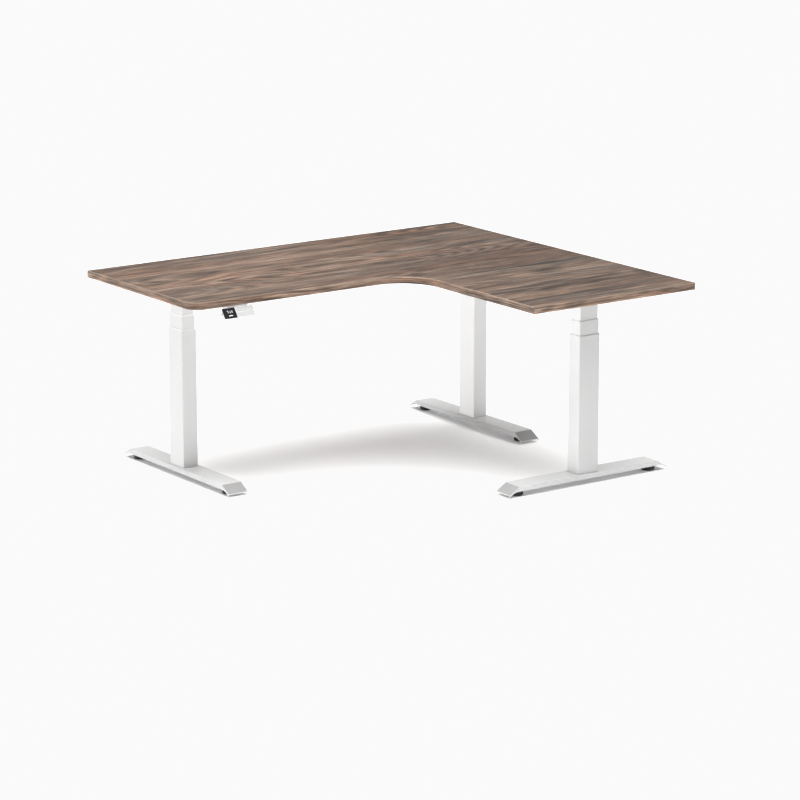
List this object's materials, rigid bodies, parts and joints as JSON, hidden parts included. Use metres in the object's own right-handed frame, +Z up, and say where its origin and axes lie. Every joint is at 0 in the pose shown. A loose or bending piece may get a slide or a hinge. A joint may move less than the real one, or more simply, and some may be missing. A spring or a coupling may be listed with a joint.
{
  "type": "height adjustable standing desk",
  "caption": "L-shaped corner desk with a wood-decor top on three telescopic powered legs, a handset under the front edge and levelling feet.",
  "frame": {"origin": "middle of the desk's footprint, on the floor", "axes": "+X along the long back edge to the user's right, +Y to the back, +Z up; the return runs forward (-Y) on the right"},
  "size_m": [1.6, 1.4, 0.693],
  "materials": {
    "wood_decor": "matt wood-decor melamine, grain along X",
    "edge_band": "matching edge band",
    "powder_coat": "fine satin powder coat",
    "collar_plastic": "matt",
    "black_rubber": "matt",
    "black_metal": "satin",
    "screw_steel": "turned",
    "black_plastic": "fine texture",
    "cable_jacket": "satin",
    "white_plastic": "satin",
    "key_plastic": "satin",
    "display_window": "gloss"
  },
  "bodies": {
    "left_base": {"left_foot": "powder_coat", "left_outer_tube": "powder_coat", "left_outer_collar": "collar_plastic", "left_fixed_screw": "screw_steel"},
    "left_middle": {"left_middle_tube": "powder_coat", "left_middle_collar": "collar_plastic"},
    "left_hollow_screw": {"left_hollow_screw": "screw_steel"},
    "left_drive_tube": {"left_drive_tube": "screw_steel"},
    "left_glide_a": {"left_glide_a": "black_rubber"},
    "left_glide_b": {"left_glide_b": "black_rubber"},
    "corner_base": {"corner_foot": "powder_coat", "corner_outer_tube": "powder_coat", "corner_outer_collar": "collar_plastic", "corner_fixed_screw": "screw_steel"},
    "corner_middle": {"corner_middle_tube": "powder_coat", "corner_middle_collar": "collar_plastic"},
    "corner_hollow_screw": {"corner_hollow_screw": "screw_steel"},
    "corner_drive_tube": {"corner_drive_tube": "screw_steel"},
    "corner_glide_a": {"corner_glide_a": "black_rubber"},
    "corner_glide_b": {"corner_glide_b": "black_rubber"},
    "return_base": {"return_foot": "powder_coat", "return_outer_tube": "powder_coat", "return_outer_collar": "collar_plastic", "return_fixed_screw": "screw_steel"},
    "return_middle": {"return_middle_tube": "powder_coat", "return_middle_collar": "collar_plastic"},
    "return_hollow_screw": {"return_hollow_screw": "screw_steel"},
    "return_drive_tube": {"return_drive_tube": "screw_steel"},
    "return_glide_a": {"return_glide_a": "black_rubber"},
    "return_glide_b": {"return_glide_b": "black_rubber"},
    "top_frame": {"desktop_panel": "wood_decor", "edge_band_front": "edge_band", "edge_band_back": "edge_band", "edge_band_right": "edge_band", "edge_band_end": "edge_band", "long_rail_front": "powder_coat", "long_rail_back": "powder_coat", "return_rail_inner": "powder_coat", "return_rail_outer": "powder_coat", "control_box_shell": "black_plastic", "control_box_cover": "black_plastic", "mains_inlet": "black_plastic", "handset_housing": "white_plastic", "handset_display": "display_window", "left_motor_lead": "cable_jacket", "corner_motor_lead": "cable_jacket", "return_motor_lead": "cable_jacket", "handset_lead": "cable_jacket", "left_slim_tube": "powder_coat", "left_gearmotor": "black_metal", "left_bracket": "powder_coat", "corner_slim_tube": "powder_coat", "corner_gearmotor": "black_metal", "corner_bracket": "powder_coat", "return_slim_tube": "powder_coat", "return_gearmotor": "black_metal", "return_bracket": "powder_coat"},
    "handset_up_key": {"handset_up_key": "key_plastic"},
    "handset_down_key": {"handset_down_key": "key_plastic"}
  },
  "joints": [
    {"name": "top_lift", "type": "slide", "parent": "left_middle", "child": "top_frame", "axis": [0, 0, 1], "range_m": [-0.034, 0.291]},
    {"name": "left_middle_lift", "type": "slide", "parent": "left_base", "child": "left_middle", "axis": [0, 0, 1], "range_m": [-0.034, 0.291]},
    {"name": "corner_middle_lift", "type": "slide", "parent": "top_frame", "child": "corner_middle", "axis": [0, 0, -1], "range_m": [-0.034, 0.291]},
    {"name": "corner_base_lift", "type": "slide", "parent": "corner_middle", "child": "corner_base", "axis": [0, 0, -1], "range_m": [-0.034, 0.291]},
    {"name": "return_middle_lift", "type": "slide", "parent": "top_frame", "child": "return_middle", "axis": [0, 0, -1], "range_m": [-0.034, 0.291]},
    {"name": "return_base_lift", "type": "slide", "parent": "return_middle", "child": "return_base", "axis": [0, 0, -1], "range_m": [-0.034, 0.291]},
    {"name": "left_drive_tube_turn", "type": "hinge", "parent": "top_frame", "child": "left_drive_tube", "pos_m": [-0.63, 0.35, 0.4], "axis": [0, 0, 1], "range_deg": [-1230, 10480]},
    {"name": "left_hollow_screw_turn", "type": "hinge", "parent": "left_middle", "child": "left_hollow_screw", "pos_m": [-0.63, 0.35, 0.4], "axis": [0, 0, 1], "range_deg": [-1230, 10480]},
    {"name": "corner_drive_tube_turn", "type": "hinge", "parent": "top_frame", "child": "corner_drive_tube", "pos_m": [0.63, 0.35, 0.4], "axis": [0, 0, 1], "range_deg": [-1230, 10480]},
    {"name": "corner_hollow_screw_turn", "type": "hinge", "parent": "corner_middle", "child": "corner_hollow_screw", "pos_m": [0.63, 0.35, 0.4], "axis": [0, 0, 1], "range_deg": [-1230, 10480]},
    {"name": "return_drive_tube_turn", "type": "hinge", "parent": "top_frame", "child": "return_drive_tube", "pos_m": [0.45, -0.53, 0.4], "axis": [0, 0, 1], "range_deg": [-1230, 10480]},
    {"name": "return_hollow_screw_turn", "type": "hinge", "parent": "return_middle", "child": "return_hollow_screw", "pos_m": [0.45, -0.53, 0.4], "axis": [0, 0, 1], "range_deg": [-1230, 10480]},
    {"name": "left_glide_a_level", "type": "slide", "parent": "left_base", "child": "left_glide_a", "axis": [0, 0, -1], "range_m": [0, 0.01]},
    {"name": "left_glide_b_level", "type": "slide", "parent": "left_base", "child": "left_glide_b", "axis": [0, 0, -1], "range_m": [0, 0.01]},
    {"name": "corner_glide_a_level", "type": "slide", "parent": "corner_base", "child": "corner_glide_a", "axis": [0, 0, -1], "range_m": [0, 0.01]},
    {"name": "corner_glide_b_level", "type": "slide", "parent": "corner_base", "child": "corner_glide_b", "axis": [0, 0, -1], "range_m": [0, 0.01]},
    {"name": "return_glide_a_level", "type": "slide", "parent": "return_base", "child": "return_glide_a", "axis": [0, 0, -1], "range_m": [0, 0.01]},
    {"name": "return_glide_b_level", "type": "slide", "parent": "return_base", "child": "return_glide_b", "axis": [0, 0, -1], "range_m": [0, 0.01]},
    {"name": "handset_up_press", "type": "slide", "parent": "top_frame", "child": "handset_up_key", "axis": [0, 0.7907, -0.6122], "range_m": [0, 0.001], "stiffness_N_per_m": 800, "springref_m": -0.0008},
    {"name": "handset_down_press", "type": "slide", "parent": "top_frame", "child": "handset_down_key", "axis": [0, 0.7907, -0.6122], "range_m": [0, 0.001], "stiffness_N_per_m": 800, "springref_m": -0.0008}
  ],
  "couplings": [
    {"joint": "left_middle_lift", "follows": "top_lift", "ratio": 1},
    {"joint": "corner_middle_lift", "follows": "top_lift", "ratio": 1},
    {"joint": "corner_base_lift", "follows": "top_lift", "ratio": 1},
    {"joint": "return_middle_lift", "follows": "top_lift", "ratio": 1},
    {"joint": "return_base_lift", "follows": "top_lift", "ratio": 1},
    {"joint": "left_drive_tube_turn", "follows": "top_lift", "rad_per_m": 628.32},
    {"joint": "left_hollow_screw_turn", "follows": "top_lift", "rad_per_m": 628.32},
    {"joint": "corner_drive_tube_turn", "follows": "top_lift", "rad_per_m": 628.32},
    {"joint": "corner_hollow_screw_turn", "follows": "top_lift", "rad_per_m": 628.32},
    {"joint": "return_drive_tube_turn", "follows": "top_lift", "rad_per_m": 628.32},
    {"joint": "return_hollow_screw_turn", "follows": "top_lift", "rad_per_m": 628.32}
  ]
}
